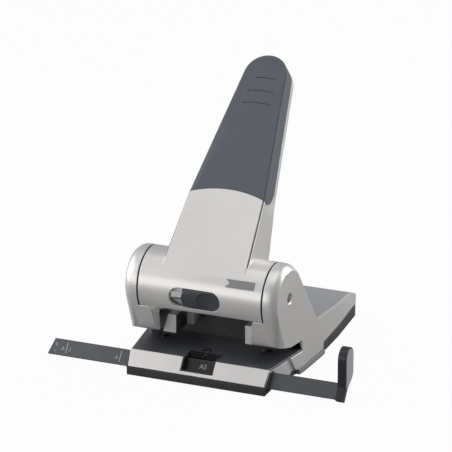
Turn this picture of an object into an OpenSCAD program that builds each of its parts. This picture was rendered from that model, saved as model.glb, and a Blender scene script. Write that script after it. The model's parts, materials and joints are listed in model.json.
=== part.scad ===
// Desk punch for two holes through thick stacks of paper, worked by a long lever.
// X runs along the paper edge, Y towards the back and Z up.
// The origin is on the desk, half way between the punches, straight below them.

/* [Holes] */
// Distance between the two hole centres
hole_pitch = 80; // [79:0.25:81]
// Diameter of the punches
hole_d = 5.5; // [5:0.1:6]
// Distance from the paper stop to the hole centres
hole_margin = 12; // [11.5:0.25:13]

/* [Paper table] */
// Height of the paper table above the desk
table_z = 17.5; // [17:0.25:19]
// Height of the paper slot at its inner end
slot_h = 6.7; // [5.5:0.1:7]
// Height of the paper slot at its mouth
slot_mouth = 13; // [12:0.25:14]
// Thickness of the dark table plate
plate_t = 1.6; // [1.2:0.1:2]
// Distance from the punches forward to the front edge of the table
table_front = 34.4; // [33:0.2:36]
// Horizontal run of the sloping front lip
lip_run = 7.7; // [7:0.1:8.5]
// Height of the lower edge of the lip
lip_foot = 7; // [6.8:0.1:7.6]
// Thickness of the lip
lip_t = 2.4; // [2:0.1:2.6]
// Width of the setting window in the lip
window_w = 25.2; // [22:0.2:28]

/* [Housing] */
// Width of the housing at the front edge of the table
front_w = 107.4; // [106:0.2:109]
// Width of the housing at the paper stop
slot_w = 121; // [120:0.2:122]
// Greatest width of the housing
body_w = 123.6; // [122.6:0.2:125]
// Width of the housing where its tail begins to draw in
tail_w = 121; // [119:0.2:122]
// Width of the housing just before its rear corners
rear_w = 114; // [112:0.5:117]
// Distance from the punches back to the rear end
rear_y = 137.5; // [134:0.5:141]
// Radius of the rear corners in plan
corner_r = 9; // [6:0.5:12]
// Thickness of the housing walls
wall_t = 3; // [2.6:0.1:3.4]
// Height of the deck just behind the cheeks
deck_front_z = 30.5; // [29.5:0.25:32]
// Height of the deck at its rear end
deck_rear_z = 22.5; // [21:0.25:24]
// Thickness of the deck cover
deck_t = 2; // [1.6:0.1:2.4]

/* [Drum and cheeks] */
// Height of the lever pivot above the desk
pivot_z = 64.1; // [63.5:0.1:65]
// Distance from the pivot back to the line of punches, the base circle of the cams
pivot_back = 11; // [10.5:0.1:11.3]
// Diameter of the pivot pin
pin_d = 7; // [6:0.1:7.5]
// Diameter of the drum
drum_d = 49.4; // [49:0.1:50]
// Length of the drum
drum_len = 94.6; // [94:0.2:96]
// Wall thickness of the drum
drum_wall = 2.4; // [2.1:0.1:2.5]
// Thickness of each cheek of the housing
cheek_t = 11.2; // [10.8:0.1:12]
// Slope of the rear edge of the cheeks
cheek_slope = 54; // [52:0.5:56]

/* [Lever] */
// Angle at which the lever rests, above the desk
lever_rest = 45; // [42:0.5:48]
// Angle through which the lever is pressed
lever_travel = 50; // [46:0.5:51]
// Length of the lever from the pivot to its tip
lever_len = 178; // [170:1:184]
// Width of the lever at the lower end of its grip
lever_w = 58.4; // [56:0.2:60]
// Radius of the tip of the lever
tip_r = 16.6; // [15:0.2:18]
// Thickness of the lever at the lower end of its grip
lever_t = 25; // [24:0.2:26]
// Thickness of the lever at its tip
tip_t = 21; // [20:0.2:22.5]
// Distance from the pivot to the lower corners of the grip
grip_from = 61; // [58:0.5:66]
// Rise of the arched lower edge of the grip
grip_arch = 5.5; // [4:0.25:7]
// Thickness of the grip
grip_t = 2.6; // [2.2:0.1:3]
// Width of the bare strip of the lever behind the grip
strip_w = 6.4; // [5.5:0.1:7.5]

/* [Lock] */
// Length of the slot for the lock slider
lock_slot_len = 39.2; // [38:0.2:41]
// Width of the slot for the lock slider
lock_slot_w = 14.8; // [14:0.2:15.4]
// Travel of the lock slider
lock_travel = 9; // [8:0.25:9.5]

/* [Guide rail] */
// Width of the rail
rail_w = 12; // [11:0.2:12.4]
// Thickness of the rail
rail_t = 2.2; // [1.8:0.1:2.6]
// Reach of the rail to the left of the centre
rail_left = 117; // [112:1:120]
// Distance from the centre to the face of the paper stop on the rail
rail_set = 105; // [100:1:110]
// Depth of the middle of the rail behind the face of the lip
rail_depth = 5.6; // [5.4:0.1:5.9]
// Width of the stop paddle
paddle_w = 16; // [15:0.5:18]
// Height of the stop paddle above the desk
paddle_z = 40.5; // [38:0.5:44]
// Thickness of the stop paddle
paddle_t = 6; // [5:0.2:7]

/* [Hidden] */
$fn = 72;

// Fits and gaps
slip = 0.05;        // radial play of a running fit
seam = 1;           // gap beside the drum
gap = 0.3;          // gap between pieces that pass each other
big = 400;          // longer than any piece, for cuts that run right through

// Derived sizes of the table and the lip
stop_y = hole_margin;
under_plate = table_z - plate_t;
lip_rise = table_z - lip_foot;
lip_len = norm([lip_run, lip_rise]);
lip_tilt = atan2(lip_run, lip_rise);
lip_front = -table_front - lip_run;
window_foot = 2.6;  // strip of lip left below the window
window_back = 13.9; // reach of the window into the table
window_hw = window_w / 2;

// Derived sizes of the drum, the cheeks and the pivot
pivot_y = -pivot_back;
drum_r = drum_d / 2;
drum_in = drum_r - drum_wall;
drum_hl = drum_len / 2;
cheek_x = drum_hl + seam;
cheek_out = cheek_x + cheek_t;
pin_r = pin_d / 2;
pin_hl = cheek_out - 3.2;
pin_lead = 0.8;     // chamfer of the pin holes in the cheeks
ledge_angle = 211;  // front edge of the drum, from +Y over the top
hem_angle = 8;      // rear edge of the drum
ledge_w = 9.7;      // width of the ledges on which the drum comes to rest
ledge_flare = 2.6;  // how much wider a ledge is at its foot
ledge_chamfer = 1.8; // broken upper corner of a ledge
ledge_y = -17;      // rear of a ledge at its top
ledge_lean = 0.195; // how far its rear leans forward for each millimetre down
hub_t = 3;
hub_r = 17;

// Cheek sections: how far each lies outside the drum seam, and how far it is drawn in
round_off = [[0, 0], [0.27, 0.05], [0.51, 0.25], [0.67, 0.9], [0.8, 2], [0.91, 3.2]];
face_inset = 4.3;   // flat outer face of a cheek, inside the rounding
cheek_front = 9.8;  // foot of the cheek behind the front edge of the table

// Derived sizes of the housing
front_hw = front_w / 2;
slot_hw = slot_w / 2;
body_y = 45;
tail_y = 85;
wall_foot = 4.2;    // lower edge of the side walls above the feet
wall_foot_rear = 8.7; // lower edge of the side walls just behind the feet
wall_foot_end = 10.4; // lower edge of the side walls at the rear
hem_gap = 0.8;      // dark groove between the walls and the base behind the feet
notch_y = 51.5;
skirt_z = 0.4;
skirt_proud = 0.6;  // how far the base stands in front of the lip
skirt_top = 7.6;
bridge_t = 4.4;     // web that carries the dies
flange_t = 0.8;      // flange of the lip below the table plate
bridge_y = 10;
cross_t = 3;        // wall behind the throat plate
throat_t = 2;
throat_top = 40;
screw_z = 35.5;     // height of the screws that hold the guides
cross_y = stop_y + throat_t;
deck_bend_y = 118;
deck_end_y = rear_y - 9.5;
cheek_toe = atan2(body_w / 2 - 0.02 - cheek_out, body_y - pivot_y);
post_x = 49.5;
post_front_y = 30;
post_rear_y = 112;
post_r = 3.8;
rib_t = 2.4;
flank_toe = atan2(slot_hw - front_hw, stop_y + table_front);
groove_y = -9;       // top of the slanted groove in each flank
groove_lean = 33.9;
groove_w = 5.5;
screw_r = 1.5;

// Punches, dies, guides and springs
punch_x = hole_pitch / 2;
punch_r = hole_d / 2;
guide_z = table_z + slot_h + 1.8;
guide_top = 40;
guide_in = 26.8;    // inner face of the guides
guide_foot = 37.1;   // outer edge of a guide at its foot
guide_draw = 3.8;   // how much narrower it is at its top
guide_front = -14.6;
punch_rest_z = guide_z - 1;
punch_head_r = 4.3;
punch_head_t = 2;
die_r = 6;
die_t = 4;
travel_rad = lever_travel * PI / 180;
stroke = pivot_back * travel_rad;
roll_rest = 0.45;   // roll of the cam at rest, in radians
cam_play = 0.12;
head_z = pivot_z - pivot_back * roll_rest - cam_play;
cam_t = 8.4;
cam_hub_r = 7.4;
spring_wire = 0.9;
spring_r = 3.75;    // from the axis to the middle of the wire
spring_seat = guide_top - 2;
spring_turns = 6;

// Lever, in its own frame: pivot at the origin, arm up, front face towards -Y
lever_face = -drum_r;
back_root = lever_t - drum_r;
back_tip = tip_t - drum_r;
flare_top = grip_from + 5;
flare_foot = 25;    // where the line of the flare would meet the height of the pivot
flare_end = 14;
cover_t = 2.2;
arm_wall = 2.4;
tip_z = lever_len - tip_r;
arm_low_w = lever_w + 6.8;
edge_r = 1.4;
groove_depth = 0.5;
groove_r = 45;
// Height, middle and length of each groove of the grip
grip_grooves = [[158.7, 2, 14], [148, 1.3, 20.6], [138, 1.6, 22.5]];
flare_bend = [9, 38]; // where the flare turns steeper
arch_r = (pow(lever_w / 2, 2) + pow(grip_arch, 2)) / (2 * grip_arch);

// Lock
lock_angle = 184.5;
lock_mid = -3.7;
lock_plate_r = drum_in - 0.15;
lock_plate_t = 0.95;
frame_t = 0.6;
frame_r = lock_plate_r - lock_plate_t - 0.1;
tab_in = 18.3;
tab_x = -14;        // left side of the tab under the slider, unlocked
tab_w = 5;
catch_r = 20.2;
catch_t = 3.2;
catch_x = tab_x - lock_travel - 0.4;
catch_w = 5.8;
catch_foot_z = 30;
catch_foot_h = 7;
frame_left = 10;     // reach of the backing strip beyond the slot, left and right
frame_right = 17;
dish_len = 17.1;
dish_left_r = drum_r - 1.1;
dish_low_r = drum_r - 2.3;
dish_right_r = drum_r - 0.8;

// Rail
rail_mid = 0.4 - lip_len / 2;
rail_play = 0.15;
channel_h = rail_w + 2.8;
channel_hw = front_hw + 1.2;

// Leaf spring and its seat
leaf_x = 0.187 * front_w;
leaf_seat = 24;

// Feet
foot_in = body_w / 2 - 8.2;
foot_from = 6;
foot_top = 3.6;
foot_proud = 1.2;
rubber_r = 6;
rubber_seat = 1.4;
rubber_x = body_w / 2 - 11.8;
rubber_front_y = 17.4 - table_front;
rubber_rear_y = rear_y - 15.5;

// Chip tray
tray_hw = 42;
tray_front = -26.6;
tray_rear = 102;
tray_h = 9;
tray_wall = 1.6;
hinge_y = 106;
hinge_z = 4.4;
tray_pin_r = 1.5;
ear_t = 7;

// ---- Helpers ----

// Extrudes a side view, drawn as [Y, Z], from x1 to x2
module slab(x1, x2) {
    translate([x1, 0, 0])
        rotate([90, 0, 90])
            linear_extrude(x2 - x1)
                children();
}

// Cylinder along X
module rod(x1, x2, r) {
    translate([x1, 0, 0])
        rotate([0, 90, 0])
            cylinder(h = x2 - x1, r = r);
}

// Sector of a disc in a side view
module wedge(a1, a2, r) {
    steps = 12;
    polygon(concat([[0, 0]],
        [for (i = [0 : steps]) let (a = a1 + (a2 - a1) * i / steps) [r * cos(a), r * sin(a)]]));
}

// Part of a ring in a side view
module arc_band(r1, r2, a1, a2) {
    intersection() {
        difference() {
            circle(r2);
            circle(r1);
        }
        wedge(a1, a2, 1.2 * r2);
    }
}

// Flat obround outline, long along X
module obround(len, wid) {
    square([len - wid, wid], center = true);
    for (s = [-1, 1])
        translate([s * (len - wid) / 2, 0])
            circle(d = wid);
}

// Moves to a direction in the side view, with +Z pointing outwards from the axis
module facing(a) {
    rotate([a - 90, 0, 0])
        children();
}

// Both sides, the copy mirrored across the middle
module both() {
    children();
    mirror([1, 0, 0])
        children();
}

// Moves to the pivot
module at_pivot() {
    translate([0, pivot_y, pivot_z])
        children();
}

// Moves to the lever frame at rest
module at_lever() {
    at_pivot()
        rotate([-lever_rest, 0, 0])
            children();
}

// Moves to the top edge of the lip, with +Z up the slope and +Y into the housing
module at_lip() {
    translate([0, -table_front, table_z])
        rotate([-lip_tilt, 0, 0])
            children();
}

// ---- Housing ----

// Half width of the outline at any depth
function half_w(y) = lookup(y, [[-table_front, front_hw], [stop_y, slot_hw], [body_y, body_w / 2],
                                [tail_y, tail_w / 2], [rear_y - corner_r, rear_w / 2]]);

// Right half of the plan outline, drawn in by an inset
function right_side(i, front) = concat(
    [[front_hw - i - (front_hw - slot_hw) * (front + table_front) / (stop_y + table_front), front]],
    [[slot_hw - i, stop_y], [body_w / 2 - i, body_y], [tail_w / 2 - i, tail_y]],
    [for (a = [0 : 15 : 90])
        [rear_w / 2 - corner_r + (corner_r - i) * cos(a), rear_y - corner_r + (corner_r - i) * sin(a)]]);
function left_side(i, front) = let (p = right_side(i, front))
    [for (k = [len(p) - 1 : -1 : 0]) [-p[k][0], p[k][1]]];

module plan(i, front) {
    polygon(concat(right_side(i, front), left_side(i, front)));
}

// Upper edge of the housing walls and of the deck, from the front to the rear
function deck_line(drop) = [
    [cross_y + cross_t, deck_front_z + 1.6 - drop],
    [body_y - 7, deck_front_z - drop],
    [deck_bend_y, deck_rear_z - drop],
    [deck_end_y, deck_rear_z - 3 - drop],
    [rear_y - 3.6, deck_rear_z - 7.4 - drop],
    [rear_y, deck_rear_z - 11.3 - drop]];

// Outline of a cheek section, drawn in by an inset
module cheek_section(inset) {
    r = drum_r - inset;
    foot = table_z + slot_h - 0.2;
    rear = pivot_y + (r + (pivot_z - foot) * cos(cheek_slope)) / sin(cheek_slope);
    translate([pivot_y, pivot_z])
        circle(r);
    front = cheek_front - table_front + 2 * inset;
    translate([front, foot])
        square([rear - front, 0.1]);
}

// Moves to the flat face of a cheek, which toes in with the flank
module at_cheek_face() {
    translate([cheek_out, pivot_y, 0])
        rotate([0, 0, -cheek_toe])
            children();
}

// Rounded cheek, all of it one convex body
module cheek_solid(grow) {
    hull() {
        for (s = round_off)
            slab(cheek_x + s[0] * cheek_t - grow, cheek_x + s[0] * cheek_t - grow + 0.02)
                cheek_section(s[1] - grow);
        at_cheek_face()
            translate([-0.05, -pivot_y, 0])
                slab(0, 0.05)
                    cheek_section(face_inset - grow);
    }
}

// Ledge in front of the drum, joined to the cheek
module ledge() {
    in_top = cheek_x - ledge_w;
    intersection() {
        slab(in_top - 2 * ledge_flare, cheek_x + 1)
            difference() {
                intersection() {
                    hull()
                        cheek_section(0);
                    polygon([[-big, 0], [ledge_y - ledge_lean * 51, 0],
                             [ledge_y + ledge_lean * 9, 60], [-big, 60]]);
                    translate([pivot_y, pivot_z])
                        wedge(ledge_angle + 0.5, 300, 60);
                }
                translate([pivot_y, pivot_z])
                    circle(drum_in - 2.8);
            }
        // Slanted inner side with a broken upper corner
        rotate([90, 0, 0])
            linear_extrude(big)
                polygon([[cheek_x + 1, 20], [in_top - 1.5 * ledge_flare, 20], [in_top, 47],
                         [in_top + ledge_chamfer, 51.5], [in_top + 3 * ledge_chamfer, 60], [cheek_x + 1, 60]]);
    }
}

// The paper slot, open towards the front
module slot_cut() {
    slab(-big / 2, big / 2)
        polygon([[-big / 2, under_plate], [stop_y, under_plate], [stop_y, table_z + slot_h],
                 [-8, table_z + slot_h + 1.8], [-table_front + 10, table_z + slot_mouth],
                 [-big / 2, table_z + slot_mouth + 150]]);
}

// Side walls, rear wall and the flanks below the table
module walls() {
    intersection() {
        translate([0, 0, wall_foot])
            linear_extrude(pivot_z)
                difference() {
                    plan(0, -table_front);
                    plan(wall_t, -table_front - 1);
                }
        slab(-big / 2, big / 2)
            polygon(concat(
                [[-table_front, wall_foot], [notch_y, wall_foot], [notch_y, wall_foot_rear],
                 [deck_bend_y, wall_foot_end], [rear_y + 1, wall_foot_end],
                 [rear_y + 1, deck_rear_z - 11.3]],
                [for (k = [5 : -1 : 0]) deck_line(0)[k]],
                [[stop_y, deck_front_z + 2], [stop_y, under_plate], [-table_front, under_plate]]));
    }
}

// Sloping front lip with the opening for the setting window
module lip() {
    intersection() {
        at_lip()
            translate([-front_hw, 0, -lip_len])
                cube([front_w, lip_t, lip_len]);
        translate([0, 0, -1])
            linear_extrude(table_z + 1)
                plan(0, lip_front);
    }
}

module window_cut(extra) {
    hw = window_hw + extra;
    at_lip()
        translate([-hw, -10, window_foot - lip_len - extra])
            cube([2 * hw, 22, 40]);
}

module housing() {
    color("silver")
        difference() {
            union() {
                walls();
                both()
                    difference() {
                        union() {
                            cheek_solid(0);
                            ledge();
                        }
                        slot_cut();
                    }
                difference() {
                    union() {
                        lip();
                        // Flange that carries the front of the table plate
                        translate([-front_hw + 1, -table_front + 0.5, under_plate - flange_t])
                            cube([front_w - 2, 9, flange_t]);
                    }
                    window_cut(0);
                }
                // Web below the dies, and the wall behind the throat plate
                translate([-slot_hw + wall_t, -bridge_y, under_plate - bridge_t])
                    cube([slot_w - 2 * wall_t, cross_y + bridge_y, bridge_t]);
                translate([-cheek_x - 1, cross_y, under_plate - bridge_t])
                    cube([2 * cheek_x + 2, cross_t, throat_top - under_plate + bridge_t]);
                // Posts for the screws of the base, each on a rib from the wall
                both()
                    for (y = [post_front_y, post_rear_y])
                        translate([post_x, y, skirt_top]) {
                            cylinder(h = deck_rear_z - deck_t - skirt_top - 0.5, r = post_r);
                            translate([0, -rib_t / 2, 3])
                                cube([half_w(y) - post_x - wall_t / 2, rib_t, 8]);
                        }
            }
            // Bores for the pivot pin, the dies, the chips and the screws
            at_pivot()
                rod(-big / 2, big / 2, pin_r + 0.02);
            both()
                translate([cheek_out, pivot_y, pivot_z])
                    rotate([0, 90, 0])
                        translate([0, 0, -2 * pin_lead])
                            cylinder(h = 4 * pin_lead, r1 = pin_r - pin_lead, r2 = pin_r + 3 * pin_lead);
            both()
                translate([punch_x, 0, 0])
                    cylinder(h = table_z, r = die_r + slip);
            both()
                for (y = [post_front_y, post_rear_y])
                    translate([post_x, y, skirt_top - 1])
                        cylinder(h = 11, r = screw_r);
            both()
                translate([punch_x, 0, screw_z])
                    rotate([-90, 0, 0])
                        cylinder(h = 30, r = screw_r + 0.1);
            // Room for the rail channel behind the lip
            channel_space(0);
            // Slanted groove down each flank
            both()
                translate([half_w(groove_y) - 1.6, groove_y, table_z])
                    rotate([groove_lean - 180, 0, -flank_toe])
                        translate([0, -groove_w / 2, -4])
                            cube([4, groove_w, 26]);
        }
}

// ---- Fixed pieces on the housing ----

module table_plate() {
    color("#3c3f44")
        difference() {
            translate([0, 0, under_plate])
                linear_extrude(plate_t)
                    intersection() {
                        plan(0.5, -table_front);
                        translate([-slot_hw, -table_front])
                            square([slot_w, table_front + stop_y - 0.1]);
                    }
            both()
                translate([punch_x, 0, 0])
                    cylinder(h = table_z + 1, r = die_r + slip);
            translate([-window_hw, -table_front - 1, 0])
                cube([window_w, window_back + 1, table_z + 1]);
            at_lip()
                translate([-big / 2, 0, -lip_len])
                    cube([big, lip_t, lip_len]);
        }
}

module throat_plate() {
    color("#2b2d31")
        difference() {
            translate([-cheek_x + gap, stop_y, under_plate])
                cube([2 * cheek_x - 2 * gap, throat_t, throat_top + 2 - under_plate]);
            both()
                translate([punch_x, 0, screw_z])
                    rotate([-90, 0, 0])
                        cylinder(h = 30, r = screw_r + 0.1);
            // Notch for the foot of the lock catch
            translate([catch_x - 0.2, stop_y - 1, catch_foot_z - 0.2])
                cube([catch_w + 0.4, throat_t + 2, 30]);
        }
}

module deck_cover() {
    color("#8b8d90")
        difference() {
            intersection() {
                linear_extrude(pivot_z)
                    plan(wall_t + 0.1, stop_y);
                slab(-big / 2, big / 2)
                    polygon(concat(
                        [for (k = [0 : 4]) deck_line(0)[k]],
                        [for (k = [4 : -1 : 0]) deck_line(deck_t)[k]]));
            }
            both()
                cheek_solid(0.05);
        }
}

// Space for the rail channel, and the channel itself
module channel_space(extra) {
    difference() {
        at_lip()
            translate([-channel_hw - 3, lip_t - extra, rail_mid - channel_h / 2 - extra])
                cube([2 * channel_hw + 6, 2 * (rail_depth - lip_t) + 2 * extra, channel_h + 2 * extra]);
        translate([-big / 2, -big / 2, under_plate - flange_t])
            cube([big, big, 10]);
    }
}

module rail_channel() {
    color("#1d1e20")
        difference() {
            at_lip()
                difference() {
                    translate([-channel_hw, lip_t, rail_mid - channel_h / 2])
                        cube([2 * channel_hw, 2 * (rail_depth - lip_t), channel_h]);
                    translate([-big / 2, rail_depth - rail_t / 2 - rail_play,
                               rail_mid - rail_w / 2 - rail_play])
                        cube([big, rail_t + 2 * rail_play, rail_w + 2 * rail_play]);
                    // Opening behind the window
                    translate([-window_hw - 0.2, 0, window_foot - lip_len])
                        cube([window_w + 0.4, rail_depth, 40]);
                    // Seat of the leaf spring
                    translate([leaf_x - 0.2, rail_depth, rail_mid - 3.2])
                        cube([leaf_seat, rail_depth, 6.4]);
                }
            translate([-big / 2, -big / 2, under_plate - flange_t])
                cube([big, big, 10]);
        }
}

module rail_spring() {
    color("#b9bcc0")
        at_lip()
            translate([leaf_x, 0, rail_mid - 3])
                linear_extrude(6)
                    polygon([[0, rail_depth + rail_t / 2 + 1.5], [6, rail_depth + rail_t / 2 + 1.5],
                             [11.8, rail_depth + rail_t / 2 + 0.3], [17.6, rail_depth + rail_t / 2 + 1.5],
                             [23.6, rail_depth + rail_t / 2 + 1.5], [23.6, rail_depth + rail_t / 2 + 2],
                             [17.4, rail_depth + rail_t / 2 + 2], [11.8, rail_depth + rail_t / 2 + 0.9],
                             [6.2, rail_depth + rail_t / 2 + 2], [0, rail_depth + rail_t / 2 + 2]]);
}

// Black frame let into the lip and the table, with a pointer
module index_window() {
    frame_w = 1.2;
    rail_face = rail_depth - rail_t / 2 - rail_play - 0.1;
    back_y = window_back - table_front;
    color("#17181a") {
        difference() {
            union() {
                at_lip()
                    translate([-window_hw, 0, window_foot - lip_len])
                        cube([window_w, rail_face, lip_len - window_foot]);
                slab(-window_hw, window_hw)
                    polygon([[-table_front, table_z], [back_y, table_z], [back_y, under_plate - 1.6],
                             [-table_front + 5.6, under_plate - flange_t]]);
            }
            at_lip()
                translate([frame_w - window_hw, -1, window_foot - lip_len + frame_w])
                    cube([window_w - 2 * frame_w, 12, 40]);
        }
        // Sloping floor between the rail and the table
        slab(-window_hw + frame_w, window_hw - frame_w)
            polygon([[back_y, table_z], [back_y, under_plate - 1.6], [-table_front + 7, under_plate - flange_t],
                     [-table_front + 7, under_plate - 0.6]]);
        // Pointer rib
        slab(-0.5, 0.5)
            polygon([[back_y - 0.5, table_z], [-table_front + 7, table_z - 1],
                     [-table_front + 7, under_plate - 1], [back_y - 0.5, table_z - 1]]);
    }
}

// ---- Base ----

module base_skirt() {
    inner = wall_t + 0.25;
    color("#1a1b1d")
        difference() {
            union() {
                translate([0, 0, skirt_z])
                    linear_extrude(wall_foot - 0.2 - skirt_z)
                        plan(1.2, lip_front + 0.2);
                translate([0, 0, skirt_z])
                    linear_extrude(skirt_top - skirt_z)
                        plan(inner, -table_front);
                // Front, as wide as the lip
                translate([0.2 - front_hw, lip_front - skirt_proud, skirt_z])
                    cube([front_w - 0.4, lip_run + skirt_proud - 0.1, lip_foot - 0.6 - skirt_z]);
                // Rim under the walls behind the feet
                intersection() {
                    linear_extrude(pivot_z)
                        difference() {
                            plan(0.3, -table_front);
                            plan(inner + 0.2, -table_front - 1);
                        }
                    slab(-big / 2, big / 2)
                        polygon([[notch_y + 0.2, skirt_z], [rear_y + 1, skirt_z],
                                 [rear_y + 1, wall_foot_end - hem_gap], [deck_bend_y, wall_foot_end - hem_gap],
                                 [notch_y + 0.2, wall_foot_rear - hem_gap]]);
                }
            }
            // Opening for the chip tray, with room for its ears
            translate([-tray_hw - 0.4, tray_front - 0.4, 0])
                cube([2 * tray_hw + 0.8, tray_rear + 3.8 - tray_front, 20]);
            both()
                translate([tray_hw - ear_t - 0.4, tray_rear - 1, 0])
                    cube([ear_t + 0.8, hinge_y + 4.4 - tray_rear, 20]);
            translate([0, hinge_y, hinge_z])
                rod(-tray_hw - 4.5, tray_hw + 4.5, tray_pin_r + 0.01);
            // Seats of the side feet, the rubber feet and the screws
            foot_space(0.1);
            mirror([1, 0, 0])
                foot_space(0.1);
            rubber_places()
                cylinder(h = rubber_seat + skirt_z, r = rubber_r + 0.1);
            both()
                for (y = [post_front_y, post_rear_y])
                    translate([post_x, y, 0]) {
                        cylinder(h = 20, r = screw_r + 0.2);
                        cylinder(h = 3.6, r = 3.2);
                    }
            channel_space(0.1);
            // Seat of the lower edge of the lip
            at_lip()
                translate([-big / 2, -0.15, -lip_len - 0.15])
                    cube([big, lip_t + 0.3, lip_len]);
        }
}

module rubber_places() {
    both()
        for (y = [rubber_front_y, rubber_rear_y])
            translate([rubber_x, y, 0])
                children();
}

module rubber_feet() {
    color("#202124")
        rubber_places()
            cylinder(h = rubber_seat + skirt_z, r = rubber_r);
}

// Grey bar under each side wall
module foot_space(extra) {
    translate([foot_in - extra, foot_from - extra, -1])
        cube([20, notch_y - foot_from + 2 * extra, wall_foot + 0.8 + extra]);
}

module side_foot() {
    color("#7d8084")
        intersection() {
            foot_space(0);
            union() {
                linear_extrude(wall_foot)
                    plan(0.4, -table_front);
                linear_extrude(foot_top)
                    plan(-foot_proud, -table_front);
            }
        }
}

module base_screws() {
    color("#9a9da1")
        both()
            for (y = [post_front_y, post_rear_y])
                translate([post_x, y, 1.6]) {
                    cylinder(h = 14, r = screw_r);
                    difference() {
                        cylinder(h = 2, r = 2.9);
                        translate([0, 0, -0.5])
                            cylinder(h = 1.6, r = 1.4, $fn = 6);
                    }
                }
}

module tray_pins() {
    color("#b9bcc0")
        translate([0, hinge_y, hinge_z])
            both()
                rod(tray_hw - ear_t - 0.6, tray_hw + 4, tray_pin_r);
}

module chip_tray() {
    floor_z = 1.4;
    color("#222326")
        difference() {
            union() {
                translate([-tray_hw, tray_front, floor_z])
                    cube([2 * tray_hw, tray_rear - tray_front, tray_h]);
                both()
                    translate([0, hinge_y, hinge_z]) {
                        rod(tray_hw - ear_t, tray_hw, 3);
                        translate([tray_hw - ear_t, tray_rear - hinge_y - 1, -3])
                            cube([ear_t, hinge_y - tray_rear + 1, 3]);
                    }
            }
            translate([tray_wall - tray_hw, tray_front + tray_wall, floor_z + tray_wall])
                cube([2 * (tray_hw - tray_wall), tray_rear - tray_front - 2 * tray_wall, 20]);
            translate([0, hinge_y, hinge_z])
                rod(-tray_hw - 1, tray_hw + 1, tray_pin_r + slip);
        }
}

// ---- Punches, dies and guides ----

module die() {
    color("#c9ccd0")
        translate([punch_x, 0, table_z - die_t])
            difference() {
                cylinder(h = die_t, r = die_r);
                translate([0, 0, -1])
                    cylinder(h = die_t + 2, r = punch_r + 0.06);
                translate([0, 0, -1])
                    cylinder(h = die_t - 1.4, r = punch_r + 0.6);
            }
}

module punch_guide() {
    color("#b4b7ba")
        difference() {
            union() {
                translate([guide_in + 5, -8, guide_z])
                    cube([cheek_x - gap - guide_in - 5, 8 + stop_y, guide_top - guide_z]);
                translate([0, stop_y, 0])
                    rotate([90, 0, 0])
                        linear_extrude(stop_y - guide_front)
                            polygon([[guide_in, guide_z], [guide_foot, guide_z],
                                     [guide_foot - guide_draw, guide_top], [guide_in, guide_top]]);
            }
            translate([punch_x, 0, 0])
                cylinder(h = pivot_z, r = punch_r + slip);
            translate([punch_x, 0, spring_seat])
                cylinder(h = 10, r = spring_r + 1);
            // Threads of the screw from behind
            translate([punch_x, 5, screw_z])
                rotate([-90, 0, 0])
                    cylinder(h = 30, r = screw_r);
        }
}

module guide_screws() {
    color("#9a9da1")
        both()
            translate([punch_x, 0, screw_z])
                rotate([-90, 0, 0]) {
                    translate([0, 0, 5.5])
                        cylinder(h = cross_y + cross_t - 5.5, r = screw_r);
                    translate([0, 0, cross_y + cross_t])
                        difference() {
                            cylinder(h = 1.8, r = 2.9);
                            translate([0, 0, 0.9])
                                cylinder(h = 2, r = 1.4, $fn = 6);
                        }
                }
}

module punch() {
    color("#d3d6da")
        translate([punch_x, 0, 0])
            difference() {
                union() {
                    translate([0, 0, punch_rest_z])
                        cylinder(h = head_z - punch_rest_z, r = punch_r);
                    translate([0, 0, head_z - punch_head_t])
                        cylinder(h = punch_head_t, r = punch_head_r);
                }
                // Hollow end, so that the rim cuts from two sides
                translate([0, 0, punch_rest_z - 0.9])
                    rotate([90, 0, 0])
                        translate([0, 0, -10])
                            cylinder(h = 20, r = 2.1);
            }
}

// Coil between the guide and the head of the punch, ends drawn flat
module punch_spring() {
    low = spring_seat + spring_wire / 2 + 0.02;
    high = head_z - punch_head_t - spring_wire / 2 - 0.05;
    ring_steps = 20;
    sides = 6;
    rings = spring_turns * ring_steps;
    // The first and last turn lie flat, the rest climbs evenly
    function climb(t) = let (flat = 0.75 / spring_turns)
        t < flat ? 0.06 * t / flat
        : t > 1 - flat ? 0.94 + 0.06 * (t - 1 + flat) / flat
        : 0.06 + 0.88 * (t - flat) / (1 - 2 * flat);
    function centre(k) = let (t = k / rings, a = 360 * spring_turns * t)
        [spring_r * cos(a), spring_r * sin(a), low + (high - low) * climb(t)];
    function ring(k) = let (c = centre(k), a = 360 * spring_turns * k / rings)
        [for (j = [0 : sides - 1]) let (b = 360 * j / sides)
            c + spring_wire / 2 * [cos(b) * cos(a), cos(b) * sin(a), sin(b)]];
    pts = [for (k = [0 : rings]) each ring(k)];
    faces = concat(
        [[for (j = [0 : sides - 1]) j]],
        [for (k = [0 : rings - 1]) for (j = [0 : sides - 1])
            [k * sides + j, (k + 1) * sides + j, (k + 1) * sides + (j + 1) % sides, k * sides + (j + 1) % sides]],
        [[for (j = [sides - 1 : -1 : 0]) rings * sides + j]]);
    color("#c2c5c9")
        translate([punch_x, 0, 0])
            polyhedron(points = pts, faces = faces, convexity = 8);
}

module pivot_pin() {
    color("#a9acb0")
        at_pivot()
            difference() {
                rod(-pin_hl, pin_hl, pin_r);
                for (s = [-1, 1])
                    translate([s * pin_hl, 0, 0])
                        rotate([0, 90, 0])
                            cylinder(h = 1.6, r = 1.2, center = true);
            }
}

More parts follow.
